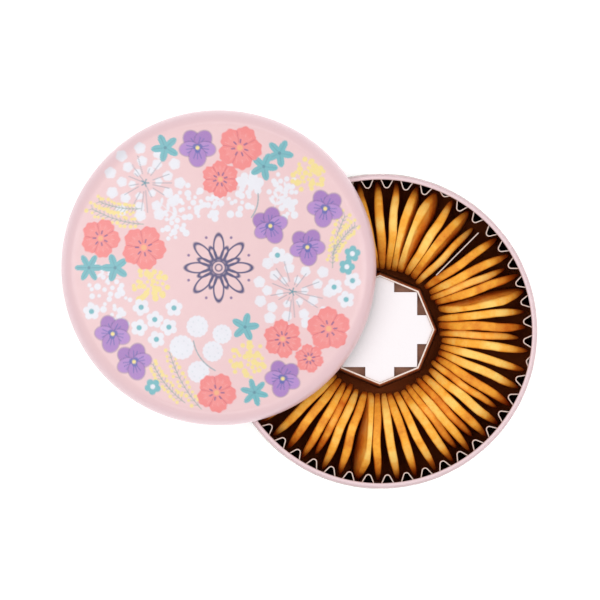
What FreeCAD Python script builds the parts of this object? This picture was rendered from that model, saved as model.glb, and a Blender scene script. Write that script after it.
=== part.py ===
import FreeCAD, Part
import math
import os

# A round printed tin in two pressed parts, shown open: the lid lies level, partly over the base, and the
# base holds a ring of biscuits that stand on edge between a corrugated liner and an octagonal card core.
# Millimetres, +Z up. The origin is the centre of the base's underside, on the plane that the bottom seam
# stands on.

V = FreeCAD.Vector

# Tinplate
SHEET = 0.28  # thickness of the sheet
SEAM_GAP = 0.04  # between the layers of the bottom seam

# Base
WALL_R = 89.7  # outside of the side wall
BASE_H = 59.0  # from the table to the top of the rim curl
NECK_STEP = 1.1  # how far the neck is set in from the side wall
NECK_H = 12.0  # from the ledge that the lid stops on to the top of the rim curl
LEDGE_BEND = 0.4  # bend radius at both ends of the ledge, at mid sheet
CURL_D = 2.0  # outside diameter of the rim curl
CURL_TURN = 300.0  # degrees that the rim curl is rolled
HEM_BEND = 0.19  # bend radius of the folded wall edge in the seam, at mid sheet
SEAM_H = 2.8  # height of the bottom seam
FOLD_H = 1.8  # straight length of the wall's folded edge in the seam
SEAM_BEND = 0.3  # bend radius at the foot of the seam, at mid sheet
PANEL_RISE = 2.4  # underside of the bottom panel above the table
PANEL_BEND = 0.8  # bend radius where the panel turns down into the seam, at mid sheet

# Lid
LID_CLEARANCE = 0.65  # between the neck and the lid's hem, on the radius
LID_SHOULDER = 9.0  # outside radius of the rounded shoulder
LID_CROWN_R = 2500.0  # radius of the slightly domed top
LID_HEADROOM = 0.8  # between the rim curl and the closed lid's shoulder
LID_HEM_BEND = 0.29  # bend radius of the lid's folded edge, at mid sheet
LID_HEM_H = 2.2  # height of the lid's folded edge
LID_AWAY = 99.0  # from the base's axis to the lid's axis as it lies
LID_BEARING = 158.5  # direction of the lid from the base, in degrees
LID_REST_GAP = 0.4  # between the rim curl and the lid's edge above it

# Card on the floor, under the liner and the biscuits
PAD_SHEET = 0.5

# Corrugated liner
LINER_SHEET = 0.6
LINER_GAP = 0.3  # between the liner and the neck
FLUTES = 48
FLUTE_DEPTH = 5.7
FLUTE_START = 98.75  # bearing of valley 0, in degrees
FLUTE_DRIFT = 1.1  # unevenness of the flute spacing, in degrees
FLUTE_HALF = 0.39  # from a flute's middle to its foot, as a share of the pitch
CREST_BEND = 1.7  # bend radius of a flute's crest, at mid sheet
FOOT_BEND = 0.9  # bend radius of a flute's foot, at mid sheet
SHALLOW_FLUTES = (4, 14)  # flutes pressed flatter than the others
SHALLOW_SHARE = 0.45
LINER_DROP = 0.6  # from the lower side of the rim curl to the liner's top edge

# Octagonal core, the shelf glued into it, and the card insert that stands on the shelf
CORE_SIDES = 8
CORE_TOP_R = 31.2  # corner radius at the top, outside
CORE_FOOT_R = 33.8  # corner radius at the foot, outside
CORE_WALL = 0.8
CORE_DROP = 3.6  # core's top edge below the rim
CORE_SHIFT = (-0.3, 1.0)  # the core stands a little off the base's axis
SHELF_SHEET = 0.5
SHELF_DROP = 8.6  # shelf's upper side below the core's top edge
SHELF_FLAP_H = 4.0  # height of the shelf's turned-down edge, glued to the core's inside
INSERT_SHEET = 0.5
INSERT_DROP = 1.0  # insert's top panel below the core's top edge
INSERT_FIT = 0.2  # between the insert's corners and the core
INSERT_TAB_HALF = 8.2  # half the width of the tabs that reach the four side corners
INSERT_SLOT = 0.6  # from the insert's corners to its feet

# Divider card
DIVIDER_SHEET = 0.6
DIVIDER_BEARING = 45.1
DIVIDER_LENGTH = 34.2
DIVIDER_GAP = 8.0  # between the divider and the valley of the liner behind it
DIVIDER_DROP = 3.4  # divider's top edge below the rim

# Biscuits: discs with lens-shaped faces
BISCUIT_RIM = 1.6  # thickness at the rounded rim
WHOLE_GAP = 1.82  # between a whole biscuit and the valley of the liner behind it
INNER_GAP = 3.9  # the same for the few that stand closer to the core
SHORT_GAP = 1.92  # between a short biscuit and the crests of the liner behind it

FIRST_COVERED_VALLEY = 31  # from here on each valley holds one biscuit that the lid covers
COVERED_PER_NODE = 3

# Derived sizes
WALL_MID = WALL_R - SHEET / 2
NECK_R = WALL_R - NECK_STEP
NECK_MID = NECK_R - SHEET / 2
LEDGE_TOP = BASE_H - NECK_H
PAD_Z = PANEL_RISE + SHEET
FLOOR_Z = PAD_Z + PAD_SHEET
CURL_BEND = (CURL_D - SHEET) / 2
LID_HEM_R = NECK_R + LID_CLEARANCE
LID_R = LID_HEM_R + 2 * LID_HEM_BEND + SHEET
LID_FOOT_Z = BASE_H + LID_REST_GAP
LINER_R = NECK_R - SHEET - LINER_GAP
LINER_MID = LINER_R - LINER_SHEET / 2
LINER_TOP = BASE_H - CURL_D - LINER_DROP
CORE_TOP = BASE_H - CORE_DROP
SHELF_TOP = CORE_TOP - SHELF_DROP
VALLEY_R = LINER_R - LINER_SHEET
DIVIDER_OUT_R = VALLEY_R - DIVIDER_GAP
DIVIDER_IN_R = DIVIDER_OUT_R - DIVIDER_LENGTH

# The kinds of biscuit
WHOLE = {"radius": 25.2, "thickness": 4.2, "outer_r": VALLEY_R - WHOLE_GAP}
INNER = {"radius": 25.2, "thickness": 4.2, "outer_r": VALLEY_R - INNER_GAP}
SHORT = {"radius": 23.0, "thickness": 3.8, "outer_r": VALLEY_R - FLUTE_DEPTH - SHORT_GAP}

# The biscuits that the lid leaves open to view: bearings of the outer and inner end, lean, and kind. The
# outer ends stand in the liner's valleys, and the short ones stand between them. Angles are in degrees.
OPEN_BISCUITS = [
    (98.5, 92.5, 0, WHOLE), (91, 87.5, 0, WHOLE), (83.5, 82, 0, WHOLE),
    (75.5, 77.5, 2, WHOLE), (68, 71.5, 4, WHOLE), (61, 65, 0, WHOLE),
    (53.5, 59, 2, WHOLE), (48, 52.5, 0, SHORT), (38.5, 44, 0, WHOLE),
    (31, 38.5, 0, WHOLE), (26.5, 33, 0, SHORT), (22, 27, 0, WHOLE),
    (15.5, 20, -3, WHOLE), (8, 12.5, 0, INNER), (1.5, 6, 0, INNER),
    (-2.5, -1.5, 0, SHORT), (-7.5, -8, 0, WHOLE), (-15, -13.5, 0, WHOLE),
    (-22, -19, 0, WHOLE), (-29.5, -24.5, 0, WHOLE), (-33.5, -31, 0, SHORT),
    (-38.5, -38, 0, WHOLE), (-44.5, -45.5, 0, WHOLE), (-49, -52, 0, SHORT),
    (-53, -58, 0, WHOLE), (-57, -64, 0, SHORT), (-61, -70, 0, WHOLE),
    (-68.5, -76.5, 0, WHOLE), (-76, -82, 0, WHOLE), (-83.5, -87.5, 0, WHOLE),
    (-91, -93, 0, WHOLE), (-98.5, -98.5, 4, WHOLE), (-106, -104.5, 0, WHOLE),
    (-112.5, -111.5, 0, WHOLE), (-117.5, -118, 0, SHORT), (-121.5, -124, 0, WHOLE),
    (-128.5, -130.5, 0, WHOLE),
]


def path_edges(start, heading, moves, offset):
    """Edges in the XZ plane that run `offset` to the left of a path of straights and tangent arcs."""
    angle = math.radians(heading)
    x = start[0] - offset * math.sin(angle)
    z = start[1] + offset * math.cos(angle)
    edges = []
    for move in moves:
        before = V(x, 0, z)
        if move[0] == "go":
            after = before + V(math.cos(angle), 0, math.sin(angle)) * move[1]
            edges.append(Part.LineSegment(before, after).toShape())
        else:
            turn = math.radians(move[2])
            side = math.copysign(1, turn)
            arm = side * move[1] - offset
            centre = before + V(-math.sin(angle), 0, math.cos(angle)) * arm
            middle = centre + V(math.sin(angle + turn / 2), 0, -math.cos(angle + turn / 2)) * arm
            after = centre + V(math.sin(angle + turn), 0, -math.cos(angle + turn)) * arm
            edges.append(Part.Arc(before, middle, after).toShape())
            angle += turn
        x = after.x
        z = after.z
    return edges


def spun_sheet(start, heading, moves):
    """A sheet-metal shell: the strip of sheet along a path in the XZ plane, turned about the Z axis."""
    left = path_edges(start, heading, moves, SHEET / 2)
    right = path_edges(start, heading, moves, -SHEET / 2)
    first_cap = Part.LineSegment(right[0].firstVertex().Point, left[0].firstVertex().Point).toShape()
    last_cap = Part.LineSegment(left[-1].lastVertex().Point, right[-1].lastVertex().Point).toShape()
    outline = Part.Wire(Part.__sortEdges__([first_cap, last_cap] + left + right))
    return Part.Face(outline).revolve(V(0, 0, 0), V(0, 0, 1), 360)


def polar(radius, bearing, z=0.0):
    """The point at a radius and a bearing in degrees from the Z axis."""
    angle = math.radians(bearing)
    return V(radius * math.cos(angle), radius * math.sin(angle), z)


def prism(points, height):
    """A closed outline of points in a level plane, raised by a height."""
    return Part.Face(Part.makePolygon(points + points[:1])).extrude(V(0, 0, height))


def base_body():
    """Side wall of one sheet: folded edge in the seam, wall, ledge, neck and the rim curled inwards."""
    fold_z = SHEET + SEAM_GAP + SHEET / 2 + HEM_BEND
    ledge_z = LEDGE_TOP - SHEET / 2
    curl_z = BASE_H - SHEET / 2 - CURL_BEND
    start = (WALL_MID + 2 * HEM_BEND, fold_z + FOLD_H)
    return spun_sheet(start, -90, [
        ("go", FOLD_H),
        ("turn", HEM_BEND, -180),
        ("go", ledge_z - LEDGE_BEND - fold_z),
        ("turn", LEDGE_BEND, 90),
        ("go", NECK_STEP - 2 * LEDGE_BEND),
        ("turn", LEDGE_BEND, -90),
        ("go", curl_z - ledge_z - LEDGE_BEND),
        ("turn", CURL_BEND, CURL_TURN),
    ])


def base_bottom():
    """Bottom panel: raised floor, turned down inside the wall and up again around the wall's folded edge."""
    inner_mid = WALL_MID - SHEET - SEAM_GAP
    outer_mid = WALL_MID + 2 * HEM_BEND + SHEET + SEAM_GAP
    panel_z = PANEL_RISE + SHEET / 2
    foot_z = SHEET / 2
    return spun_sheet((0, panel_z), 0, [
        ("go", inner_mid - PANEL_BEND),
        ("turn", PANEL_BEND, -90),
        ("go", panel_z - foot_z - PANEL_BEND - SEAM_BEND),
        ("turn", SEAM_BEND, 90),
        ("go", outer_mid - inner_mid - 2 * SEAM_BEND),
        ("turn", SEAM_BEND, 90),
        ("go", SEAM_H - foot_z - SEAM_BEND),
    ])


def lid_height():
    """Height of the lid, so that its edge stops on the ledge with the rim curl just below the shoulder."""
    inside = LID_SHOULDER - SHEET
    reach = NECK_R - (LID_R - LID_SHOULDER)
    drop = LID_SHOULDER - math.sqrt(inside**2 - reach**2)
    return NECK_H + LID_HEADROOM + drop


def lid():
    """Pressed lid: domed top, rounded shoulder, skirt and an edge folded inwards, level beside the base."""
    bend = LID_SHOULDER - SHEET / 2
    top_r = LID_R - LID_SHOULDER
    crown = math.degrees(math.asin(top_r / LID_CROWN_R))
    shoulder_z = LID_FOOT_Z + lid_height() - LID_SHOULDER
    crown_h = LID_CROWN_R * (1 - math.cos(math.radians(crown)))
    top_z = shoulder_z + bend * math.cos(math.radians(crown)) + crown_h
    fold_z = LID_FOOT_Z + SHEET / 2 + LID_HEM_BEND
    shell = spun_sheet((0, top_z), 0, [
        ("turn", LID_CROWN_R, -crown),
        ("turn", bend, crown - 90),
        ("go", shoulder_z - fold_z),
        ("turn", LID_HEM_BEND, -180),
        ("go", LID_HEM_H - LID_HEM_BEND - SHEET / 2),
    ])
    shell.translate(polar(LID_AWAY, LID_BEARING))
    return shell


def floor_card():
    """Round card lying on the bottom panel."""
    return Part.makeCylinder(LINER_R, PAD_SHEET, V(0, 0, PAD_Z))


def valley_bearing(index):
    """Bearing of a liner valley. The flutes are a little closer together on one side than on the other."""
    turn = 360.0 / FLUTES * index
    return FLUTE_START - turn - FLUTE_DRIFT * (1 - math.cos(math.radians(turn)))


def flute_edges(flute, offset):
    """One flute's foot, flank, crest, flank and foot, clockwise, set off from mid sheet towards the wall."""
    depth = FLUTE_DEPTH * (SHALLOW_SHARE if flute in SHALLOW_FLUTES else 1.0)
    pitch = valley_bearing(flute) - valley_bearing(flute + 1)
    middle = valley_bearing(flute) - pitch / 2
    crest = polar(LINER_MID - depth + CREST_BEND, middle)
    crest_r = CREST_BEND - offset
    foot_r = FOOT_BEND + offset
    sides = []
    for side in (1, -1):
        bearing = middle + side * FLUTE_HALF * pitch
        outwards = polar(1.0, bearing)
        foot = polar(LINER_MID - FOOT_BEND, bearing)
        across = crest - foot
        share = (CREST_BEND + FOOT_BEND) / across.Length
        across.normalize()
        normal = across * share + V(-across.y, across.x, 0) * (side * math.sqrt(1 - share**2))
        halfway = (outwards + normal).normalize()
        bend = [foot + outwards * foot_r, foot + halfway * foot_r, foot + normal * foot_r]
        sides.append({"bend": bend, "crest_end": crest - normal * crest_r})
    first, last = sides
    return [
        Part.Arc(*first["bend"]).toShape(),
        Part.LineSegment(first["bend"][2], first["crest_end"]).toShape(),
        Part.Arc(first["crest_end"], crest - polar(crest_r, middle), last["crest_end"]).toShape(),
        Part.LineSegment(last["crest_end"], last["bend"][2]).toShape(),
        Part.Arc(*reversed(last["bend"])).toShape(),
    ]


def liner_wire(offset):
    """The liner's closed outline at an offset from mid sheet: the flutes, joined by arcs along the wall."""
    flutes = [flute_edges(flute, offset) for flute in range(FLUTES)]
    edges = []
    for flute in range(FLUTES):
        valley = polar(LINER_MID + offset, valley_bearing(flute))
        before = flutes[flute - 1][-1].lastVertex().Point
        after = flutes[flute][0].firstVertex().Point
        edges.append(Part.Arc(before, valley, after).toShape())
        edges += flutes[flute]
    return Part.Wire(edges)


def corrugated_liner():
    """Corrugated card strip standing around the inside of the wall."""
    ring = Part.Face([liner_wire(LINER_SHEET / 2), liner_wire(-LINER_SHEET / 2)], "Part::FaceMakerBullseye")
    liner = ring.extrude(V(0, 0, LINER_TOP - FLOOR_Z))
    liner.translate(V(0, 0, FLOOR_Z))
    return liner


def octagon(corner_r, z):
    """Closed octagonal wire around the core's own axis, with a corner at bearing 0."""
    shift = V(*CORE_SHIFT, z)
    corners = [polar(corner_r, 360.0 / CORE_SIDES * i) + shift for i in range(CORE_SIDES + 1)]
    return Part.makePolygon(corners)


def core_corner_r(z):
    """Outside corner radius of the core at a height."""
    share = (z - FLOOR_Z) / (CORE_TOP - FLOOR_Z)
    return CORE_FOOT_R + (CORE_TOP_R - CORE_FOOT_R) * share


def core_corner_wall():
    """Thickness of the core's wall measured along a corner radius."""
    return CORE_WALL / math.cos(math.pi / CORE_SIDES)


def center_core():
    """Folded octagonal tube of card, slightly wider at the foot."""
    tubes = []
    for inset in (0, core_corner_wall()):
        rims = [octagon(CORE_FOOT_R - inset, FLOOR_Z), octagon(CORE_TOP_R - inset, CORE_TOP)]
        tubes.append(Part.makeLoft(rims, True, True))
    outside, inside = tubes
    return outside.cut(inside)


def core_shelf():
    """Octagonal card in the core with its edge turned down all round."""
    foot_z = SHELF_TOP - SHELF_FLAP_H
    solids = []
    for inset, drop in ((0, 0), (core_corner_wall() * SHELF_SHEET / CORE_WALL, SHELF_SHEET)):
        rims = []
        for z in (foot_z, SHELF_TOP - drop):
            rims.append(octagon(core_corner_r(z) - core_corner_wall() - inset, z))
        solids.append(Part.makeLoft(rims, True, True))
    outside, inside = solids
    return outside.cut(inside)


def card_insert():
    """White die-cut card in the core: a square top, and on each side a flat tab between two folded feet."""
    top_z = CORE_TOP - INSERT_DROP
    corner_r = core_corner_r(top_z) - core_corner_wall() - INSERT_FIT
    half = corner_r * math.cos(math.pi / 4)
    tab_reach = corner_r - INSERT_TAB_HALF * math.tan(math.pi / CORE_SIDES)
    quarter = [V(half, -half, 0), V(half, -INSERT_TAB_HALF, 0), V(tab_reach, -INSERT_TAB_HALF, 0),
               V(corner_r, 0, 0), V(tab_reach, INSERT_TAB_HALF, 0), V(half, INSERT_TAB_HALF, 0)]
    outline = []
    feet = []
    foot_h = top_z - INSERT_SHEET - SHELF_TOP
    for turn in range(4):
        spin = FreeCAD.Rotation(V(0, 0, 1), 90 * turn)
        outline += [spin.multVec(point) for point in quarter]
        for foot_y in (INSERT_SLOT - half, INSERT_TAB_HALF):
            foot = Part.makeBox(INSERT_SHEET, half - INSERT_SLOT - INSERT_TAB_HALF, foot_h,
                                V(half - INSERT_SHEET, foot_y, 0))
            foot.rotate(V(0, 0, 0), V(0, 0, 1), 90 * turn)
            feet.append(foot)
    top = prism(outline, INSERT_SHEET)
    top.translate(V(0, 0, foot_h))
    card = top.multiFuse(feet).removeSplitter()
    card.translate(V(*CORE_SHIFT, SHELF_TOP))
    return card


def divider_card():
    """Upright card between two of the biscuits."""
    height = BASE_H - DIVIDER_DROP - FLOOR_Z
    card = Part.makeBox(DIVIDER_LENGTH, DIVIDER_SHEET, height,
                        V(DIVIDER_IN_R, -DIVIDER_SHEET / 2, FLOOR_Z))
    card.rotate(V(0, 0, 0), V(0, 0, 1), DIVIDER_BEARING)
    return card


def biscuit(outer, inner, lean, kind):
    """A disc on edge, from its outer end's bearing towards its inner end's, leaning about that line."""
    radius = kind["radius"]
    half = kind["thickness"] / 2
    rim = BISCUIT_RIM / 2
    flat_r = radius - rim
    ball_r = (flat_r**2 + (half - rim) ** 2) / (2 * (half - rim))
    middle = V(flat_r / 2, 0, half - ball_r + math.sqrt(ball_r**2 - flat_r**2 / 4))
    axis_top = V(0, 0, half)
    below = FreeCAD.Rotation(V(1, 0, 0), 180)
    cap = Part.Arc(axis_top, middle, V(flat_r, 0, rim)).toShape()
    edge = Part.Arc(V(flat_r, 0, rim), V(radius, 0, 0), V(flat_r, 0, -rim)).toShape()
    base = Part.Arc(V(flat_r, 0, -rim), below.multVec(middle), -axis_top).toShape()
    spine = Part.LineSegment(-axis_top, axis_top).toShape()
    disc = Part.Face(Part.Wire([cap, edge, base, spine])).revolve(V(0, 0, 0), V(0, 0, 1), 360)
    outer_end = polar(kind["outer_r"], outer)
    inner_end = polar(kind["outer_r"] - 2 * radius, inner)
    along = (inner_end - outer_end).normalize()
    disc.rotate(V(0, 0, 0), V(1, 0, 0), 90 + lean)
    disc.rotate(V(0, 0, 0), V(0, 0, 1), math.degrees(math.atan2(along.y, along.x)))
    disc.translate(outer_end + along * radius + V(0, 0, FLOOR_Z + radius))
    return disc


def covered_biscuits():
    """Groups of the biscuits that the lid covers, one in each remaining valley."""
    discs = []
    for valley in range(FIRST_COVERED_VALLEY, FLUTES):
        bearing = valley_bearing(valley)
        discs.append(biscuit(bearing, bearing, 0, WHOLE))
    return [discs[i:i + COVERED_PER_NODE] for i in range(0, len(discs), COVERED_PER_NODE)]


def all_nodes():
    """Every node's name and its solids."""
    nodes = {
        "base_body": [base_body()],
        "base_bottom": [base_bottom()],
        "lid": [lid()],
        "floor_card": [floor_card()],
        "corrugated_liner": [corrugated_liner()],
        "center_core": [center_core()],
        "core_shelf": [core_shelf()],
        "card_insert": [card_insert()],
        "divider_card": [divider_card()],
    }
    for number, place in enumerate(OPEN_BISCUITS, 1):
        nodes[f"biscuit_{number:02d}"] = [biscuit(*place)]
    for number, group in enumerate(covered_biscuits(), 1):
        nodes[f"covered_biscuits_{number}"] = group
    return nodes


def main():
    os.makedirs("parts", exist_ok=True)
    for name, solids in all_nodes().items():
        solids = [piece for shape in solids for piece in shape.Solids]
        shape = solids[0] if len(solids) == 1 else Part.makeCompound(solids)
        shape.exportStep(f"parts/{name}.step")
        print(name, len(solids), "solids", shape.isValid(), round(shape.Volume, 1), "mm3")


main()
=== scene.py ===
import math
import random

import bpy
import numpy as np
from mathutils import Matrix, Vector, noise


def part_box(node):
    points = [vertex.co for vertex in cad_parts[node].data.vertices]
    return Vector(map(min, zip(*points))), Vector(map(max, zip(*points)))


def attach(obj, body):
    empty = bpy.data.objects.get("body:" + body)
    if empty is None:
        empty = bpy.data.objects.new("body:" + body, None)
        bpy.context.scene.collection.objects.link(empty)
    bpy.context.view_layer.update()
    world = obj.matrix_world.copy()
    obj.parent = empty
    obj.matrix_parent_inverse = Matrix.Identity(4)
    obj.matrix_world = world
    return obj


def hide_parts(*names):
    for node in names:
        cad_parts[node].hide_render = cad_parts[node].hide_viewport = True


# A round printed tin, open: the lid lies over one side of the base, and the base holds a ring of biscuits on
# edge. The shells repeat the CAD's sheet-metal paths. Lengths are in millimetres until they become vertices.

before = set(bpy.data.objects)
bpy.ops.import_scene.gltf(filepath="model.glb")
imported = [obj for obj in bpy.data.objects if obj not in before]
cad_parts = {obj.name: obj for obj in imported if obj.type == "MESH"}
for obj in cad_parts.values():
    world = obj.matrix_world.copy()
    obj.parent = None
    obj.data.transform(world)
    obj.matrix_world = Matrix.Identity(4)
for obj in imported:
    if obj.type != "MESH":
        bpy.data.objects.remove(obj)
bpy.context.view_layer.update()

MM = 0.001

# Sheet and base
SHEET = 0.28
SEAM_GAP = 0.04
WALL_R = 89.7
BASE_H = 59.0
NECK_STEP = 1.1
NECK_H = 12.0
LEDGE_BEND = 0.4
CURL_BEND = 0.86
CURL_TURN = 300.0
HEM_BEND = 0.19
FOLD_H = 1.8
SEAM_H = 2.8
SEAM_BEND = 0.3
PANEL_RISE = 2.4
PANEL_BEND = 0.8
BEAD_RINGS = (74.0, 52.0)  # radii of the stiffening beads pressed into the bottom
BEAD_BEND = 2.2
BEAD_TURN = 20  # degrees that a bead's sides slope

# Lid
LID_CLEARANCE = 0.65
LID_SHOULDER = 9.0
LID_CROWN_R = 2500.0
LID_HEADROOM = 0.8
LID_HEM_BEND = 0.29
LID_HEM_H = 2.2
LID_REST_GAP = 0.4
PRINT_STEP = 0.46  # between the rings of points that carry the lid's print

# How finely the shells are cut: points round the axis, and millimetres between points along a path
BASE_SEGMENTS = 288
LID_SEGMENTS = 840
WALL_STEP = 6.0
BOTTOM_STEP = 8.0
ARC_STEP = 8.0  # degrees between points on an arc
LEAST_ARC_STEPS = 4
ON_AXIS = 1e-6  # a point nearer the axis than this is on it

# Liner
FLUTES = 48
FLUTE_START = 98.75
FLUTE_DRIFT = 1.1
FIRST_COVERED_VALLEY = 31

# Derived
WALL_MID = WALL_R - SHEET / 2
NECK_R = WALL_R - NECK_STEP
LEDGE_TOP = BASE_H - NECK_H
LID_R = NECK_R + LID_CLEARANCE + 2 * LID_HEM_BEND + SHEET
LID_FOOT_Z = BASE_H + LID_REST_GAP


# ---------------------------------------------------------------- colour

def linear(red, green, blue):
    """An sRGB colour with values to 255 as linear values to 1."""
    return np.array([(c / 255 / 12.92) if c < 10.3 else ((c / 255 + 0.055) / 1.055) ** 2.4
                     for c in (red, green, blue)])


def rgba(red, green, blue):
    return (*linear(red, green, blue), 1.0)


PINK = (243, 204, 206)
WALL_PINK = (246, 217, 221)
# colour of the painted highlight round the lid's shoulder
RIM_HIGHLIGHT_PINK = (255, 222, 230)
CORAL = (248, 128, 126)
CORAL_DEEP = (214, 82, 100)
PURPLE = (160, 106, 190)
PURPLE_DARK = (80, 44, 130)
BLUE = (52, 74, 170)
NAVY = (30, 26, 104)
TEAL = (98, 184, 194)
TEAL_DARK = (60, 140, 158)
WHITE = (240, 240, 248)
YELLOW = (250, 226, 140)
SAGE = (150, 170, 160)
ENAMEL_SHARE = 0.83
RIM_HIGHLIGHT_WIDTH = 5.0  # width of the painted highlight, a paler band printed round the lid's shoulder


# ---------------------------------------------------------------- materials

class Shader:
    """A node material, with short ways to add the nodes that the finishes are made of."""

    def __init__(self, name):
        self.material = bpy.data.materials.new(name)
        self.material.use_nodes = True
        self.tree = self.material.node_tree
        self.bsdf = self.tree.nodes["Principled BSDF"]
        self.place = self.add("TexCoord").outputs["Object"]

    def put(self, socket, value):
        if isinstance(value, bpy.types.NodeSocket):
            self.tree.links.new(value, socket)
        else:
            socket.default_value = value

    def add(self, kind, props=(), inputs=()):
        node = self.tree.nodes.new("ShaderNode" + kind)
        for key, value in dict(props).items():
            setattr(node, key, value)
        for key, value in dict(inputs).items():
            self.put(node.inputs[key], value)
        return node

    def noise(self, size, detail=3.0, rough=0.5, stretch=(1, 1, 1)):
        """Noise with features of a size in millimetres, longer along an axis where its stretch is above 1."""
        scaled = self.add("VectorMath", {"operation": "MULTIPLY"},
                          {0: self.place, 1: [1 / (s * size * MM) for s in stretch]}).outputs[0]
        inputs = {"Vector": scaled, "Scale": 1.0, "Detail": detail, "Roughness": rough}
        return self.add("TexNoise", {}, inputs).outputs["Fac"]

    def ramp(self, value, low, high, out_low=0.0, out_high=1.0):
        inputs = {"Value": value, "From Min": low, "From Max": high, "To Min": out_low, "To Max": out_high}
        return self.add("MapRange", {"clamp": True}, inputs).outputs[0]

    def maths(self, operation, a, b):
        return self.add("Math", {"operation": operation}, {0: a, 1: b}).outputs[0]

    def mix(self, share, a, b, blend="MIX"):
        node = self.add("Mix", {"data_type": "RGBA", "blend_type": blend})
        self.put(node.inputs[0], share)
        self.put(node.inputs[6], a)
        self.put(node.inputs[7], b)
        return node.outputs[2]

    def attribute(self, name, output):
        return self.add("Attribute", {"attribute_name": name}).outputs[output]

    def upward(self, low, high):
        """0 on faces that stand upright and 1 on faces that look up."""
        split = self.add("SeparateXYZ", {}, {0: self.add("NewGeometry").outputs["Normal"]})
        return self.ramp(split.outputs["Z"], low, high)

    def bump(self, height, depth, strength=1.0):
        inputs = {"Height": height, "Distance": depth * MM, "Strength": strength}
        self.put(self.bsdf.inputs["Normal"], self.add("Bump", {}, inputs).outputs[0])

    def finish(self, colour, roughness, **constants):
        self.put(self.bsdf.inputs["Base Color"], colour)
        self.put(self.bsdf.inputs["Roughness"], roughness)
        for key, value in constants.items():
            self.bsdf.inputs[key.replace("_", " ")].default_value = value
        return self.material


def printed_tin():
    """Lithographed enamel: the print's colours, a faint ink mottle, tiny specks of wear and a soft gloss."""
    s = Shader("printed_tin")
    ink = s.attribute("print", "Color")
    mottle = s.ramp(s.noise(7, 4), 0.35, 0.65)
    grain = s.ramp(s.noise(0.35, 2), 0.4, 0.6)
    toned = s.mix(s.ramp(mottle, 0, 1, 0.0, 0.05), ink, rgba(214, 170, 184))
    toned = s.mix(s.ramp(grain, 0, 1, 0.0, 0.035), toned, rgba(255, 240, 240))
    specks = s.ramp(s.noise(1.6, 5, 0.7), 0.745, 0.77)
    toned = s.mix(s.maths("MULTIPLY", specks, 0.3), toned, rgba(190, 150, 160))
    s.bump(s.noise(0.9, 2), 0.012)
    return s.finish(toned, s.ramp(mottle, 0, 1, 0.36, 0.46), Coat_Weight=0.5, Coat_Roughness=0.18)


def tinplate():
    """Bare rolled tinplate: bright metal with fine rolling lines, light stains and rubbed spots."""
    s = Shader("tinplate")
    lines = s.noise(0.5, 3, 0.6, (1, 60, 1))
    stain = s.ramp(s.noise(16, 5, 0.6), 0.4, 0.7)
    colour = s.mix(stain, rgba(214, 212, 208), rgba(184, 180, 172))
    rough = s.maths("ADD", s.ramp(lines, 0.3, 0.7, 0.2, 0.32), s.maths("MULTIPLY", stain, 0.12))
    s.bump(lines, 0.01)
    return s.finish(colour, rough, Metallic=1.0)


def card(name, face, face_dark, edge):
    """Board with pressed fibres. What looks up, such as an upright card's cut edge, has its own colour."""
    s = Shader(name)
    fibres = s.noise(0.8, 4, 0.6, (1, 1, 5))
    blotch = s.noise(9, 3)
    colour = s.mix(s.ramp(blotch, 0.35, 0.65), rgba(*face), rgba(*face_dark))
    colour = s.mix(s.ramp(fibres, 0.35, 0.7, 0.0, 0.3), colour, rgba(*face_dark))
    frayed = s.maths("MULTIPLY", s.upward(0.6, 0.9), s.ramp(s.noise(1.4, 3), 0.25, 0.5, 0.72, 1.0))
    colour = s.mix(frayed, colour, rgba(*edge))
    s.bump(fibres, 0.06)
    return s.finish(colour, s.ramp(fibres, 0.3, 0.7, 0.78, 0.95), Specular_IOR_Level=0.06)


def baked():
    """Baked biscuit: golden crust, browner in patches, with painted shade that browns its upright faces, and
    pores and blisters.
    """
    s = Shader("baked_biscuit")
    tone = s.attribute("bake", "Fac")
    patch = s.ramp(s.noise(3.4, 5, 0.62), 0.3, 0.7, -0.14, 0.14)
    freckle = s.ramp(s.noise(0.9, 3, 0.6), 0.58, 0.7, 0.0, 0.16)
    tone = s.maths("ADD", s.maths("ADD", tone, patch), freckle)
    # painted shade: faces that stand upright are browned and faces that look up stay paler, as light falls
    # between packed biscuits
    tone = s.maths("ADD", tone, s.maths("SUBTRACT", 0.42, s.maths("MULTIPLY", s.upward(0.1, 0.8), 0.42)))
    pale = s.mix(s.ramp(tone, 0.0, 0.45), rgba(255, 210, 112), rgba(250, 174, 58))
    brown = s.mix(s.ramp(tone, 0.45, 1.0), pale, rgba(206, 104, 18))
    pores = s.noise(0.55, 3, 0.6)
    blisters = s.noise(2.6, 3, 0.5)
    height = s.maths("ADD", s.maths("MULTIPLY", blisters, 0.7), s.maths("MULTIPLY", pores, 0.3))
    s.bump(height, 0.16)
    s.bsdf.subsurface_method = "RANDOM_WALK"
    return s.finish(brown, s.ramp(pores, 0.3, 0.7, 0.5, 0.7), Subsurface_Weight=0.08, Subsurface_Scale=0.001,
                    Specular_IOR_Level=0.2)


def floor_white():
    """Studio sweep in matt white, with hardly any grain."""
    s = Shader("floor_white")
    colour = s.mix(s.noise(60, 2), rgba(250, 250, 250), rgba(246, 246, 246))
    return s.finish(colour, 0.9, Emission_Color=(1, 1, 1, 1), Emission_Strength=0.4)


# ---------------------------------------------------------------- spun shells

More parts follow.
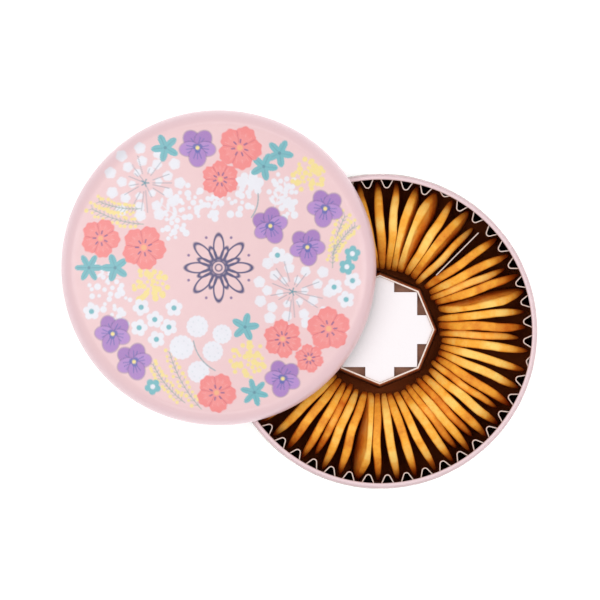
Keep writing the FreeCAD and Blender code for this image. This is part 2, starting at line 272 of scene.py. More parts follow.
def path_points(start, heading, moves, offset, step):
    """Points `offset` to the left of a path of straights and tangent arcs, at most about a step apart."""
    angle = math.radians(heading)
    x = start[0] - offset * math.sin(angle)
    z = start[1] + offset * math.cos(angle)
    points = [(x, z)]
    for kind, size, *bend in moves:
        if kind == "go":
            count = max(1, round(size / step))
            points += [(x + math.cos(angle) * size * i / count, z + math.sin(angle) * size * i / count)
                       for i in range(1, count + 1)]
        else:
            turn = math.radians(bend[0])
            arm = math.copysign(size, turn) - offset
            centre = (x - math.sin(angle) * arm, z + math.cos(angle) * arm)
            count = max(LEAST_ARC_STEPS, round(abs(bend[0]) / ARC_STEP), round(abs(turn * arm) / step))
            for i in range(1, count + 1):
                a = angle + turn * i / count
                points.append((centre[0] + math.sin(a) * arm, centre[1] - math.cos(a) * arm))
            angle += turn
        x, z = points[-1]
    return points


def new_object(name, vertices, faces, materials, shades=None, sharp=0.7):
    """A smooth mesh object from millimetre vertices, with an optional material number for each face."""
    mesh = bpy.data.meshes.new(name)
    mesh.from_pydata([tuple(v) for v in np.asarray(vertices) * MM], [], faces)
    for material in materials:
        mesh.materials.append(material)
    if shades is not None:
        mesh.polygons.foreach_set("material_index", shades)
    mesh.shade_smooth()
    mesh.set_sharp_from_angle(angle=sharp)
    mesh.update()
    thing = bpy.data.objects.new(name, mesh)
    bpy.context.scene.collection.objects.link(thing)
    return thing


def spin(name, rows, centre, segments, materials):
    """Rows of profile points, one for each side of a sheet, turned about a vertical axis into a closed shell.
    The first row's faces take the first material, and the other side and the cut edges take the second."""
    front, back = rows
    profile = list(front) + list(reversed(back))
    sides = [0] * (len(front) - 1) + [1] * (len(profile) - len(front) + 1)
    turns = np.arange(segments) * (2 * math.pi / segments)
    vertices = []
    first = []
    for r, z in profile:
        first.append(len(vertices))
        if abs(r) < ON_AXIS:
            vertices.append((centre[0], centre[1], z))
        else:
            vertices += [(centre[0] + r * math.cos(t), centre[1] + r * math.sin(t), z) for t in turns]
    faces = []
    shades = []
    for i in range(len(profile)):
        j = (i + 1) % len(profile)
        one = abs(profile[i][0]) < ON_AXIS
        two = abs(profile[j][0]) < ON_AXIS
        if one and two:
            continue
        for k in range(segments):
            n = (k + 1) % segments
            a, b = first[i], first[j]
            if one:
                faces.append((a, b + n, b + k))
            elif two:
                faces.append((a + k, a + n, b))
            else:
                faces.append((a + k, a + n, b + n, b + k))
            shades.append(sides[i])
    return new_object(name, vertices, faces, materials, shades)


def fill_print(thing, colours):
    """Writes the print's colour at each vertex, a little darker because enamel isn't as bright as paper."""
    layer = thing.data.attributes.new("print", "FLOAT_COLOR", "POINT")
    table = np.ones((len(thing.data.vertices), 4), np.float32)
    table[:, :3] = colours * ENAMEL_SHARE
    layer.data.foreach_set("color", table.ravel())


def base_body_path():
    fold_z = SHEET + SEAM_GAP + SHEET / 2 + HEM_BEND
    ledge_z = LEDGE_TOP - SHEET / 2
    curl_z = BASE_H - SHEET / 2 - CURL_BEND
    return (WALL_MID + 2 * HEM_BEND, fold_z + FOLD_H), -90, [
        ("go", FOLD_H),
        ("turn", HEM_BEND, -180),
        ("go", ledge_z - LEDGE_BEND - fold_z),
        ("turn", LEDGE_BEND, 90),
        ("go", NECK_STEP - 2 * LEDGE_BEND),
        ("turn", LEDGE_BEND, -90),
        ("go", curl_z - ledge_z - LEDGE_BEND),
        ("turn", CURL_BEND, CURL_TURN),
    ]


def bead(inner_run):
    """A straight run and then a shallow bead that dips and comes back level."""
    return [("go", inner_run), ("turn", BEAD_BEND, -BEAD_TURN), ("turn", BEAD_BEND, 2 * BEAD_TURN),
            ("turn", BEAD_BEND, -BEAD_TURN)]


def base_bottom_path():
    inner_mid = WALL_MID - SHEET - SEAM_GAP
    outer_mid = WALL_MID + 2 * HEM_BEND + SHEET + SEAM_GAP
    panel_z = PANEL_RISE + SHEET / 2
    bead_w = 4 * BEAD_BEND * math.sin(math.radians(BEAD_TURN))
    outer_bead, inner_bead = BEAD_RINGS
    moves = bead(inner_bead) + bead(outer_bead - inner_bead - bead_w)
    return (0, panel_z), 0, moves + [
        ("go", inner_mid - PANEL_BEND - outer_bead - bead_w),
        ("turn", PANEL_BEND, -90),
        ("go", panel_z - SHEET / 2 - PANEL_BEND - SEAM_BEND),
        ("turn", SEAM_BEND, 90),
        ("go", outer_mid - inner_mid - 2 * SEAM_BEND),
        ("turn", SEAM_BEND, 90),
        ("go", SEAM_H - SHEET / 2 - SEAM_BEND),
    ]


def lid_path():
    inside = LID_SHOULDER - SHEET
    reach = NECK_R - (LID_R - LID_SHOULDER)
    height = NECK_H + LID_HEADROOM + LID_SHOULDER - math.sqrt(inside**2 - reach**2)
    bend = LID_SHOULDER - SHEET / 2
    crown = math.degrees(math.asin((LID_R - LID_SHOULDER) / LID_CROWN_R))
    shoulder_z = LID_FOOT_Z + height - LID_SHOULDER
    crown_h = LID_CROWN_R * (1 - math.cos(math.radians(crown)))
    top_z = shoulder_z + bend * math.cos(math.radians(crown)) + crown_h
    fold_z = LID_FOOT_Z + SHEET / 2 + LID_HEM_BEND
    return (0, top_z), 0, [
        ("turn", LID_CROWN_R, -crown),
        ("turn", bend, crown - 90),
        ("go", shoulder_z - fold_z),
        ("turn", LID_HEM_BEND, -180),
        ("go", LID_HEM_H - LID_HEM_BEND - SHEET / 2),
    ]


# ---------------------------------------------------------------- the lid's print

class Canvas:
    """Points of the lid's top in millimetres from its axis, and the colour printed at each."""

    def __init__(self, x, y, ground):
        self.x = x
        self.y = y
        self.colour = np.tile(linear(*ground), (len(x), 1))

    def near(self, cx, cy, reach):
        """The points within reach of a centre, and where they are from it."""
        found = np.nonzero((self.x - cx) ** 2 + (self.y - cy) ** 2 < reach**2)[0]
        return found, self.x[found] - cx, self.y[found] - cy

    def ink(self, found, beyond, colour, strength=1.0, soft=0.5):
        """Prints a colour where `beyond`, the distance outside the shape, is below 0."""
        cover = (np.clip(0.5 - beyond / soft, 0, 1) * strength)[:, None]
        self.colour[found] = self.colour[found] * (1 - cover) + linear(*colour) * cover

    def dot(self, cx, cy, size, colour, strength=1.0):
        found, x, y = self.near(cx, cy, size + 1)
        self.ink(found, np.hypot(x, y) - size, colour, strength)

    def oval(self, cx, cy, long, wide, turn, colour, strength=1.0):
        found, x, y = self.near(cx, cy, long + 1)
        c, s = math.cos(turn), math.sin(turn)
        ratio = np.hypot((x * c + y * s) / long, (y * c - x * s) / wide)
        self.ink(found, (ratio - 1) * min(long, wide), colour, strength)

    def line(self, points, width, colour, strength=1.0):
        for (ax, ay), (bx, by) in zip(points, points[1:]):
            long = math.hypot(bx - ax, by - ay)
            found, x, y = self.near((ax + bx) / 2, (ay + by) / 2, long / 2 + width + 1)
            ux, uy = (bx - ax) / long, (by - ay) / long
            reach = np.clip(x * ux + y * uy, -long / 2, long / 2)
            self.ink(found, np.hypot(x - reach * ux, y - reach * uy) - width / 2, colour, strength)

    def lobed(self, cx, cy, size, lobes, depth, power, turn, colour, strength=1.0, ripple=0.0):
        """A round-lobed shape: its radius swings between size and size times 1 - depth."""
        found, x, y = self.near(cx, cy, size * (1 + ripple) + 1)
        angle = np.arctan2(y, x) - turn
        wave = np.abs(np.cos(angle * lobes / 2)) ** power
        edge = size * (1 - depth + depth * wave) * (1 + ripple * np.sin(angle * (3 * lobes + 1)))
        self.ink(found, np.hypot(x, y) - edge, colour, strength)


GOLDEN_TURN = math.pi * (3 - math.sqrt(5))


def at(angle, share):
    """The point on the lid at an angle in degrees and a share of the lid's radius."""
    a = math.radians(angle)
    return share * LID_R * math.cos(a), share * LID_R * math.sin(a)


def around(cx, cy, radius, count, turn=0.0):
    """Points and their angles, evenly spaced round a centre."""
    for i in range(count):
        a = turn + 2 * math.pi * i / count
        yield cx + radius * math.cos(a), cy + radius * math.sin(a), a


def bent(ax, ay, bx, by, bow, count=8):
    """Points along a bowed line."""
    for i in range(count + 1):
        t = i / count
        swell = 4 * bow * t * (1 - t)
        yield ax + (bx - ax) * t - (by - ay) * swell, ay + (by - ay) * t + (bx - ax) * swell


def blossom(art, cx, cy, size, turn, lobes):
    """Coral blossom: wavy overlapping petals, fine veins and dark stamens."""
    art.lobed(cx, cy, size, lobes, 0.22, 0.7, turn, CORAL, 1.0, 0.03)
    art.lobed(cx, cy, size * 0.66, lobes, 0.25, 1.0, turn, (250, 144, 140), 0.55)
    for x, y, a in around(cx, cy, size * 0.5, lobes, turn + math.pi / lobes):
        inner = (cx + size * 0.24 * math.cos(a), cy + size * 0.24 * math.sin(a))
        outer = (cx + size * 0.76 * math.cos(a), cy + size * 0.76 * math.sin(a))
        art.line([inner, outer], 0.45, CORAL_DEEP, 0.85)
    for x, y, a in around(cx, cy, size * 0.55, lobes * 3, turn):
        tip = (cx + size * 0.7 * math.cos(a), cy + size * 0.7 * math.sin(a))
        art.line([(x, y), tip], 0.3, (255, 186, 180), 0.6)
    art.dot(cx, cy, size * 0.13, (250, 176, 120))
    for x, y, a in around(cx, cy, size * 0.24, lobes + 2, turn):
        tip = (cx + size * 0.37 * math.cos(a), cy + size * 0.37 * math.sin(a))
        art.line([(x, y), tip], 0.75, PURPLE_DARK, 0.9)


def violet(art, cx, cy, size, turn):
    """Purple five-petalled flower with blue veins and a yellow eye."""
    petals = [(125, 0.48, 0.44, PURPLE), (55, 0.48, 0.44, PURPLE), (188, 0.42, 0.4, (178, 128, 206)),
              (-8, 0.42, 0.4, (178, 128, 206)), (-90, 0.46, 0.46, (168, 116, 198))]
    for bearing, away, wide, colour in petals:
        a = math.radians(bearing) + turn
        x = cx + size * away * math.cos(a)
        y = cy + size * away * math.sin(a)
        art.oval(x, y, size * 0.52, size * wide, a, PURPLE_DARK, 0.5)
        art.oval(x, y, size * 0.47, size * (wide - 0.05), a, colour)
        for swing in (-0.35, 0.0, 0.35):
            inner = (cx + size * 0.2 * math.cos(a + swing), cy + size * 0.2 * math.sin(a + swing))
            outer = (cx + size * 0.55 * math.cos(a + swing), cy + size * 0.55 * math.sin(a + swing))
            art.line([inner, outer], 0.55, BLUE, 0.8)
    art.lobed(cx, cy, size * 0.26, 3, 0.4, 1.0, turn - math.pi / 2, BLUE, 0.9)
    art.dot(cx, cy, size * 0.1, YELLOW)


def star(art, cx, cy, size, turn, arms):
    """Teal flower with blunt arms."""
    art.lobed(cx, cy, size, arms, 0.56, 1.6, turn, TEAL)
    for x, y, a in around(cx, cy, size * 0.2, arms, turn):
        tip = (cx + size * 0.82 * math.cos(a), cy + size * 0.82 * math.sin(a))
        art.line([(x, y), tip], 0.4, TEAL_DARK, 0.6)
    art.dot(cx, cy, size * 0.12, TEAL_DARK)


def small_flower(art, cx, cy, size, turn, petals, eye):
    """Five round petals round an eye."""
    for x, y, a in around(cx, cy, size * 0.58, 5, turn):
        art.dot(x, y, size * 0.42, petals)
    art.dot(cx, cy, size * 0.3, eye)


def pompon(art, cx, cy, size, turn):
    """White pompon with a scalloped edge and a few faint tufts."""
    art.lobed(cx, cy, size, 14, 0.07, 1.0, turn, WHITE)
    for x, y, a in around(cx, cy, size * 0.55, 7, turn):
        art.dot(x, y, 0.45, (214, 222, 230), 0.6)


def seeds(art, rng, cx, cy, size, count, least, colour):
    """A loose round cluster of dots, at least a size and up to twice it."""
    for number in range(count):
        a = number * GOLDEN_TURN + rng.uniform(-0.4, 0.4)
        away = size * math.sqrt((number + 0.5) / count) * rng.uniform(0.92, 1.08)
        art.dot(cx + away * math.cos(a), cy + away * math.sin(a), rng.uniform(least, 2 * least), colour)


def sprig(art, start, end, bow, leaves, leaf, colour, stem):
    """A bowed stem with leaves on both sides."""
    points = list(bent(*start, *end, bow, leaves))
    art.line(points, 0.5, stem, 0.8)
    for number, ((ax, ay), (bx, by)) in enumerate(zip(points, points[1:])):
        along = math.atan2(by - ay, bx - ax)
        for side in (-1, 1):
            a = along + side * 0.95
            size = leaf * (1.0 - 0.4 * number / leaves)
            art.oval(bx + size * math.cos(a), by + size * math.sin(a), size, size * 0.42, a, colour)


def mimosa(art, rng, start, end, bow):
    """Feathery grey-green sprig with yellow balls."""
    points = list(bent(*start, *end, bow, 12))
    art.line(points, 0.5, SAGE, 0.9)
    for (ax, ay), (bx, by) in zip(points, points[1:]):
        along = math.atan2(by - ay, bx - ax)
        for side in (-1, 1):
            a = along + side * rng.uniform(0.7, 1.1)
            reach = rng.uniform(2.4, 3.8)
            tip = (bx + reach * math.cos(a), by + reach * math.sin(a))
            art.line([(bx, by), tip], 0.42, SAGE, 0.8)
            art.dot(*tip, rng.uniform(0.8, 1.2), YELLOW)


def umbel(art, rng, cx, cy, size):
    """White umbel: uneven rays from a teal centre to fluffy white heads."""
    heads = [(0.98, 11, 0.17, 0.0), (0.66, 9, 0.15, 0.3), (0.36, 6, 0.11, 0.1)]
    for away, count, head, turn in heads:
        for x, y, a in around(cx, cy, size * away, count, turn):
            reach = size * away * rng.uniform(0.9, 1.08)
            x = cx + reach * math.cos(a)
            y = cy + reach * math.sin(a)
            for px, py, _ in around(x, y, size * head * 0.45, 5, a):
                art.dot(px, py, size * head * 0.5, WHITE, 0.9)
            art.dot(x, y, size * head * 0.5, WHITE, 0.9)
    for number in range(16):
        a = number * GOLDEN_TURN
        reach = size * rng.uniform(0.35, 0.85)
        start = size * rng.uniform(0.05, 0.3)
        art.line([(cx + start * math.cos(a), cy + start * math.sin(a)),
                  (cx + reach * math.cos(a), cy + reach * math.sin(a))], 0.45, (140, 152, 168), 0.8)
    for x, y, a in around(cx, cy, size * 0.1, 5):
        art.line([(cx, cy), (x, y)], 0.7, TEAL_DARK)


def rosette(art, size):
    """Plain line rosette in the middle of the lid."""
    for away, long, wide, turn in ((0.64, 0.36, 0.15, 0.0), (0.45, 0.2, 0.085, math.pi / 8)):
        for x, y, a in around(0, 0, size * away, 8, turn):
            found, px, py = art.near(x, y, size * long + 2)
            c, s = math.cos(a), math.sin(a)
            ratio = np.hypot((px * c + py * s) / (size * long), (py * c - px * s) / (size * wide))
            art.ink(found, np.abs(ratio - 1) * size * wide - 0.45, NAVY)
    found, px, py = art.near(0, 0, size)
    for ring in (0.1, 0.2):
        art.ink(found, np.abs(np.hypot(px, py) - size * ring) - 0.42, NAVY)
    for x, y, a in around(0, 0, size * 0.98, 8, math.pi / 8):
        art.dot(x, y, 0.8, PURPLE_DARK, 0.85)


# The wreath. A place is an angle in degrees and a share of the lid's radius. Sizes are shares of it too.
PALE_CLUSTERS = (  # place, size, number of dots, smallest dot in millimetres
    (113, 0.45, 0.11, 22, 1.0),
    (97, 0.385, 0.075, 12, 1.0),
    (137, 0.385, 0.09, 16, 1.0),
    (72, 0.43, 0.09, 14, 1.1),
    (70, 0.57, 0.075, 12, 1.5),
    (50, 0.64, 0.1, 20, 1.0),
    (40, 0.58, 0.06, 8, 1.1),
    (-167, 0.72, 0.14, 28, 1.0),
    (-152, 0.7, 0.06, 8, 1.0),
)
PALE_SPRIGS = ((124, 0.38, 8, 3), (88, 0.38, 0, 3), (46, 0.5, 4, 4), (-174, 0.62, -6, 3))  # lean, leaves
SPRIG_REACH = 0.16
SPRIG_LEAF = 2.6  # millimetres
UMBELS = ((131, 0.71), (-18, 0.49))
UMBEL_SIZE = 0.235
MIMOSAS = (  # foot and tip
    ((150, 0.55), (155, 0.88)),
    ((143, 0.62), (151, 0.86)),
    ((0, 0.72), (22, 0.86)),
    ((6, 0.72), (17, 0.9)),
    ((-97, 0.9), (-120, 0.62)),
    ((-104, 0.88), (-124, 0.74)),
)
MIMOSA_BOW = 0.06
POMPONS = (  # place, size and turn
    (-110, 0.395, 0.07, 80),
    (-115, 0.555, 0.078, 70),
    (-87, 0.42, 0.062, 95),
    (-94, 0.53, 0.066, 85),
    (-101, 0.67, 0.07, 75),
)
STALKS = (((-109, 0.49), (-92, 0.65), -0.12), ((62, 0.53), (57, 0.38), 0.1))  # foot, tip and bow
STALK_WIDTH = 0.7  # millimetres
STALK_COLOUR = (140, 168, 176)
YELLOW_CLUSTERS = ((46, 0.815, 0.105, 34), (-166, 0.45, 0.115, 38), (-73, 0.61, 0.115, 38))
YELLOW_DOT = 0.95  # smallest, in millimetres
WHITE_FLOWERS = ((12, 0.38), (-161, 0.85), (-153, 0.55), (-138, 0.38), (-141, 0.52), (-143, 0.63),
                 (-130, 0.49), (-131, 0.6), (-9.5, 0.74), (-5.5, 0.85), (-14, 0.83))
WHITE_FLOWER_SIZE = 0.055
TEAL_FLOWERS = ((-119, 0.86), (6, 0.85), (0.4, 0.81))
TEAL_FLOWER_SIZE = 0.052
STARS = ((114, 0.83, 5), (62, 0.82, 5), (66, 0.7, 5), (180, 0.82, 6), (180, 0.655, 5), (-66, 0.41, 5),
         (-74, 0.82, 6))  # place and arms
STAR_SIZE = 0.09
BLOSSOMS = (  # place, size and petals
    (80, 0.77, 0.14, 5),
    (89, 0.56, 0.118, 6),
    (166, 0.77, 0.124, 5),
    (165, 0.49, 0.14, 5),
    (-48, 0.605, 0.122, 6),
    (-29, 0.795, 0.138, 5),
    (-45, 0.81, 0.092, 6),
    (-91, 0.79, 0.126, 5),
)
VIOLETS = (  # place, size and tilt
    (100, 0.77, 0.128, 0),
    (29, 0.77, 0.126, -12),
    (39, 0.42, 0.124, 26),
    (13, 0.575, 0.124, 7),
    (-148, 0.79, 0.126, -12),
    (-132, 0.8, 0.124, 17),
    (-60, 0.81, 0.124, -12),
)
ROSETTE_SIZE = 0.21


def draw_wreath(art):
    """A wreath of generic garden flowers, from the pale sprigs at the back to the blossoms in front."""
    rng = random.Random(7)
    everywhere, x, y = art.near(0, 0, 2 * LID_R)
    # painted highlight: a paler lilac-pink band round the lid's shoulder
    art.ink(everywhere, LID_R - RIM_HIGHLIGHT_WIDTH - np.hypot(x, y), RIM_HIGHLIGHT_PINK, 0.8, 8.0)
    for angle, share, size, count, least in PALE_CLUSTERS:
        seeds(art, rng, *at(angle, share), LID_R * size, count, least, WHITE)
    for angle, share, lean, count in PALE_SPRIGS:
        tip = at(angle + lean, share + SPRIG_REACH)
        sprig(art, at(angle, share), tip, 0.08, count, SPRIG_LEAF, WHITE, WHITE)
    for place in UMBELS:
        umbel(art, rng, *at(*place), LID_R * UMBEL_SIZE)
    for foot, tip in MIMOSAS:
        mimosa(art, rng, at(*foot), at(*tip), MIMOSA_BOW)
    for angle, share, size, turn in POMPONS:
        pompon(art, *at(angle, share), LID_R * size, math.radians(turn))
    for foot, tip, bow in STALKS:
        art.line(list(bent(*at(*foot), *at(*tip), bow)), STALK_WIDTH, STALK_COLOUR, 0.9)
    for angle, share, size, count in YELLOW_CLUSTERS:
        seeds(art, rng, *at(angle, share), LID_R * size, count, YELLOW_DOT, YELLOW)
    for angle, share in WHITE_FLOWERS:
        small_flower(art, *at(angle, share), LID_R * WHITE_FLOWER_SIZE, math.radians(angle * 3), WHITE, TEAL)
    for angle, share in TEAL_FLOWERS:
        small_flower(art, *at(angle, share), LID_R * TEAL_FLOWER_SIZE, math.radians(angle * 2), TEAL, WHITE)
    for angle, share, arms in STARS:
        star(art, *at(angle, share), LID_R * STAR_SIZE, math.radians(angle), arms)
    for angle, share, size, lobes in BLOSSOMS:
        blossom(art, *at(angle, share), LID_R * size, math.radians(angle * 1.7), lobes)
    for angle, share, size, tilt in VIOLETS:
        violet(art, *at(angle, share), LID_R * size, math.radians(tilt))
    rosette(art, LID_R * ROSETTE_SIZE)


# ---------------------------------------------------------------- biscuits

RINGS = (0.15, 0.3, 0.44, 0.57, 0.68, 0.77, 0.84, 0.89, 0.925, 0.948, 0.964, 0.977, 0.987, 0.995, 0.9988)
SPOKES = 84
NEIGHBOUR_REACH = 20.0  # discs with centres further apart than this don't limit each other
NEIGHBOUR_EDGE = 1.5  # how far past a neighbour's rim it still limits a biscuit
NEIGHBOUR_GAP = 0.1
FREE_REACH = 9.0  # from the mid plane where no neighbour limits a biscuit
LEAST_HALF = 0.6  # least half thickness between neighbours
THICKNESS = (1.08, 1.24)  # range, against the plain disc's
CORNER = (0.5, 0.7)  # range of the rim's rounding, as a share of half the thickness
THIN_OUT = (0.66, 0.8)  # range of the loss of thickness at the outer end
THIN_IN = (0.35, 0.55)  # the same at the inner end
CAMBER = (0.15, 0.6)
WAVE = (0.15, 0.5)
BEATS = (3.0, 6.0)
TONE = (0.05, 0.55)  # range of how brown it is
RIM_UNEVEN = 0.008  # as a share of the radius
FOLD_OVER = 3.2  # how far a leaning biscuit's top edge bends over beyond its plane
FULL_LEAN = 4.0  # degrees of lean that bend it over by that much; more lean bends it further
BELLY = 0.7  # extra fullness of a leaning biscuit's upper face


def disc_places(node, groups=None):
    """Centre, outward direction, axis, radius and thickness of each disc in a CAD node, in millimetres."""
    points = np.empty(len(node.data.vertices) * 3)
    node.data.vertices.foreach_get("co", points)
    points = points.reshape(-1, 3) / MM
    parts = [points]
    if groups is not None:
        bearings = np.degrees(np.arctan2(points[:, 1], points[:, 0]))
        gap = np.abs((bearings[:, None] - np.array(groups)[None, :] + 180) % 360 - 180)
        nearest = gap.argmin(axis=1)
        parts = [points[nearest == i] for i in sorted(set(nearest))]
    for part in parts:
        centre = (part.max(axis=0) + part.min(axis=0)) / 2
        vectors = np.linalg.eigh(np.cov((part - centre).T))[1]
        axis = Vector(vectors[:, 0]).normalized()
        out = Vector((0, 0, 1)).cross(axis).normalized()
        if out.dot(Vector((centre[0], centre[1], 0))) < 0:
            out.negate()
            axis.negate()
        radius = (part[:, 2].max() - part[:, 2].min()) / 2
        thickness = np.ptp((part - centre) @ np.array(axis))
        yield Vector(centre), out, axis, radius, thickness


def room(point, place, neighbours, side):
    """How far a biscuit may reach from its mid plane on one side before it meets a neighbour half way."""
    axis = place[2]
    free = FREE_REACH
    for centre, _, other, radius, _ in neighbours:
        away = (point - centre).dot(other)
        inside = (point - centre - other * away).length < radius + NEIGHBOUR_EDGE
        if side * away * other.dot(axis) < 0 and inside:
            free = min(free, abs(away) / 2 - NEIGHBOUR_GAP)
    return free


def biscuit(name, place, neighbours, seed, material):
    """One baked disc: blunt rounded crust, thin towards its two ends, warped, and uneven at the rim."""
    centre, out, axis, radius, thickness = place
    rng = random.Random(seed)
    up = axis.cross(out)
    if up.z < 0:
        up.negate()
    half = thickness / 2 * rng.uniform(*THICKNESS)
    corner = half * rng.uniform(*CORNER)
    thin_out = rng.uniform(*THIN_OUT)
    thin_in = rng.uniform(*THIN_IN)
    camber = rng.choice((-1, 1)) * rng.uniform(*CAMBER)
    wave = rng.uniform(*WAVE)
    beat = rng.uniform(*BEATS)
    phase = rng.uniform(0, 6.3)
    fold = -FOLD_OVER * axis.z / math.sin(math.radians(FULL_LEAN))
    tone = rng.uniform(*TONE)
    shift = Vector((rng.uniform(-90, 90), rng.uniform(-90, 90), rng.uniform(-90, 90)))
    vertices = []
    bakes = []

    def point(rho, theta, side):
        rim = Vector((math.cos(theta) * 1.6, math.sin(theta) * 1.6, seed * 3.7))
        reach = radius * (1 - RIM_UNEVEN + RIM_UNEVEN * noise.noise(rim)) * rho
        u = rho * math.cos(theta)
        v = max(0.0, rho * math.sin(theta))
        thin = 1 - (thin_out if u > 0 else thin_in) * abs(u) ** 4
        below_rim = radius * (1 - rho)
        rounding = math.sqrt(max(0.0, 1 - max(0.0, 1 - below_rim / corner) ** 2))
        body = thin * (half - corner + corner * rounding) if rho < 1 else 0.0
        if side * fold < 0:
            body *= 1 + BELLY * abs(fold) / FOLD_OVER * (1 - v)
        flat = out * (reach * math.cos(theta)) + up * (reach * math.sin(theta))
        place_here = centre + flat
        ahead = room(place_here, place, neighbours, 1)
        behind = room(place_here, place, neighbours, -1)
        middle = camber * (u * u - 0.3) + wave * math.sin(beat * u + phase) * (1 - u * u) + fold * v * v
        middle = min(max(middle, LEAST_HALF - behind), ahead - LEAST_HALF)
        seat = (flat + shift + axis * (side * 4)) * 0.16
        swell = noise.noise(seat) * 0.22 + noise.noise(seat * 3.3) * 0.09
        offset = middle + side * body * (1 + swell * 0.35) + swell * 0.3
        vertices.append(place_here + axis * min(max(offset, -behind), ahead))
        crust = noise.noise((flat + shift) * 0.09) * 0.5 + noise.noise((flat + shift) * 0.3) * 0.2
        bakes.append(tone + crust + 0.12 * rho**12 + 0.3 * max(0.0, u) ** 6)

    for side in (1, -1):
        point(0, 0, side)
        for rho in RINGS:
            for k in range(SPOKES):
                point(rho, 2 * math.pi * k / SPOKES, side)
    for k in range(SPOKES):
        point(1, 2 * math.pi * k / SPOKES, 0)
    faces = []
    cap = 1 + len(RINGS) * SPOKES
    for side in (0, 1):
        start = side * cap
        for k in range(SPOKES):
            n = (k + 1) % SPOKES
            ring = [start] + [start + 1 + i * SPOKES for i in range(len(RINGS))] + [2 * cap]
            loops = [(ring[0], ring[1] + k, ring[1] + n)]
            loops += [(a + k, b + k, b + n, a + n) for a, b in zip(ring[1:], ring[2:])]
            faces += loops if side == 0 else [tuple(reversed(f)) for f in loops]
    thing = new_object(name, [tuple(v) for v in vertices], faces, [material], sharp=3.0)
    layer = thing.data.attributes.new("bake", "FLOAT", "POINT")
    layer.data.foreach_set("value", np.array(bakes, np.float32))
    return thing


def valley_bearing(index):
    turn = 360.0 / FLUTES * index
    return FLUTE_START - turn - FLUTE_DRIFT * (1 - math.cos(math.radians(turn)))


# ---------------------------------------------------------------- assembly

def two_rows(path, front_side, step):
    """The two sides of a sheet along a path, the side named first in front."""
    half = front_side * SHEET / 2
    return [path_points(*path, half, step), path_points(*path, -half, step)]


def add_shells():
    paint = printed_tin()
    metal = tinplate()
    body_rows = two_rows(base_body_path(), -1, WALL_STEP)
    body = spin("base_wall", body_rows, (0, 0), BASE_SEGMENTS, [paint, metal])
    fill_print(body, linear(*WALL_PINK))
    bottom_rows = two_rows(base_bottom_path(), -1, BOTTOM_STEP)
    bottom = spin("base_floor", bottom_rows, (0, 0), BASE_SEGMENTS, [metal, metal])
    low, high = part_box("lid")
    axis = ((low.x + high.x) / 2 / MM, (low.y + high.y) / 2 / MM)
    outside = path_points(*lid_path(), SHEET / 2, PRINT_STEP)
    inside = path_points(*lid_path(), -SHEET / 2, WALL_STEP)
    lid = spin("lid_shell", [outside, inside], axis, LID_SEGMENTS, [paint, metal])
    points = np.empty(len(lid.data.vertices) * 3)
    lid.data.vertices.foreach_get("co", points)
    points = points.reshape(-1, 3) / MM
    art = Canvas(points[:, 0] - axis[0], points[:, 1] - axis[1], PINK)
    draw_wreath(art)
    fill_print(lid, art.colour)
    for thing, rider, node, slot in ((body, "base", "base_body", "printed_wall"),
                                     (bottom, "base", "base_bottom", "tinplate"),
                                     (lid, "lid", "lid", "printed_lid")):
        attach(thing, rider)
        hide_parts(node)


def dress_card():
    brown = card("brown_board", (196, 130, 88), (160, 92, 56), (238, 222, 212))
    dark = card("dark_board", (198, 112, 66), (158, 80, 42), (214, 194, 184))
    ground = card("floor_board", (186, 98, 52), (150, 72, 38), (170, 86, 44))
    shelf = card("shelf_board", (196, 150, 128), (170, 122, 102), (190, 144, 122))
    white = card("white_board", (244, 239, 241), (240, 234, 237), (244, 239, 241))
    for name, material in (("corrugated_liner", dark), ("center_core", brown), ("divider_card", dark),
                           ("floor_card", ground), ("core_shelf", shelf), ("card_insert", white)):
        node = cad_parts[name]
        node.data.materials.clear()
        node.data.materials.append(material)


def add_biscuits():
    material = baked()
    covered = [valley_bearing(valley) for valley in range(FIRST_COVERED_VALLEY, FLUTES)]
    stack = []
    for name in sorted(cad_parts):
        if name.startswith("biscuit_"):
            stack += [(name, f"baked_{name}", place) for place in disc_places(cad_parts[name])]
        elif name.startswith("covered_biscuits_"):
            places = disc_places(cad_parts[name], covered)
            stack += [(name, f"baked_{name}_{number}", place) for number, place in enumerate(places, 1)]
    for seed, (name, label, place) in enumerate(stack, 1):
        others = [other for _, _, other in stack if 0 < (other[0] - place[0]).length < NEIGHBOUR_REACH]
        thing = biscuit(label, place, others, seed, material)
        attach(thing, "base")
        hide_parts(name)


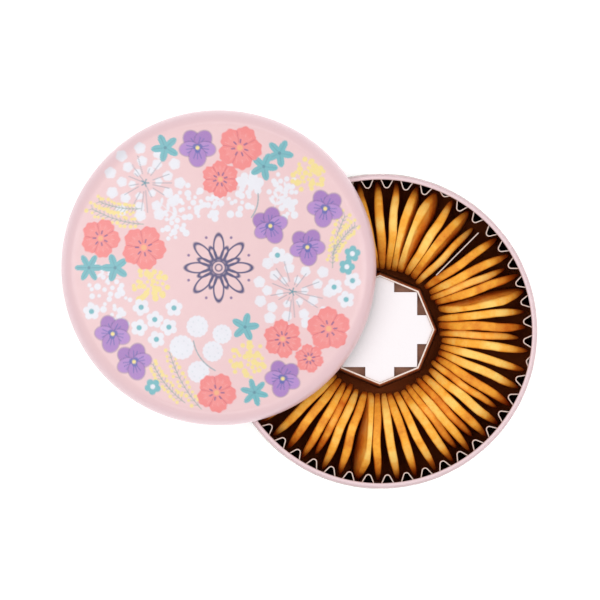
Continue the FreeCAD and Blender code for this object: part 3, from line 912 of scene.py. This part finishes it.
# The studio, in metres and watts unless it says otherwise
WORLD_LIGHT = 0.5
BOXES = (  # x, y, z, width, length and power of each soft light
    ("left_box", -0.85, 0.1, 2.0, 0.7, 1.6, 11.4),
    ("right_box", 0.85, 0.0, 2.0, 0.7, 1.6, 11.4),
    ("far_box", -0.1, 1.0, 2.0, 1.4, 0.5, 5.2),
    ("near_box", 0.0, -1.0, 2.0, 1.4, 0.5, 5.2),
)
LIT_POINT = (-0.02, 0.01, 0.05)  # what the lights point at
CAMERA_PLACE = (-0.0458, 0.0179, 11.469)
CAMERA_LENS = 1200.0  # millimetres
CAMERA_SENSOR = 36.0  # millimetres
CAMERA_SIGHT = 50.0
FLOOR_HALF = 4000.0  # millimetres
FLOOR_DROP = 0.2  # floor's surface below the tin's foot, in millimetres


def add_studio():
    """White floor, even sky, and a soft light on each side, seen from straight above."""
    scene = bpy.context.scene
    scene.view_settings.view_transform = "Standard"
    world = bpy.data.worlds.new("studio")
    world.use_nodes = True
    world.node_tree.nodes["Background"].inputs["Color"].default_value = (1, 1, 1, 1)
    world.node_tree.nodes["Background"].inputs["Strength"].default_value = WORLD_LIGHT
    scene.world = world
    corners = [(x * FLOOR_HALF, y * FLOOR_HALF, -FLOOR_DROP) for x, y in ((-1, -1), (1, -1), (1, 1), (-1, 1))]
    floor = new_object("studio_floor", corners, [(0, 1, 2, 3)], [floor_white()])
    for name, x, y, z, wide, long, power in BOXES:
        data = bpy.data.lights.new(name, "AREA")
        data.shape = "RECTANGLE"
        data.size = wide
        data.size_y = long
        data.energy = power
        lamp = bpy.data.objects.new(name, data)
        lamp.location = (x, y, z)
        aim = Vector(LIT_POINT) - lamp.location
        lamp.rotation_euler = aim.to_track_quat("-Z", "Y").to_euler()
        lamp.visible_camera = False
        scene.collection.objects.link(lamp)
    data = bpy.data.cameras.new("above")
    data.sensor_width = CAMERA_SENSOR
    data.lens = CAMERA_LENS
    data.clip_end = CAMERA_SIGHT
    camera = bpy.data.objects.new("above", data)
    camera.location = CAMERA_PLACE
    scene.collection.objects.link(camera)
    scene.camera = camera


add_shells()
dress_card()
add_biscuits()
add_studio()
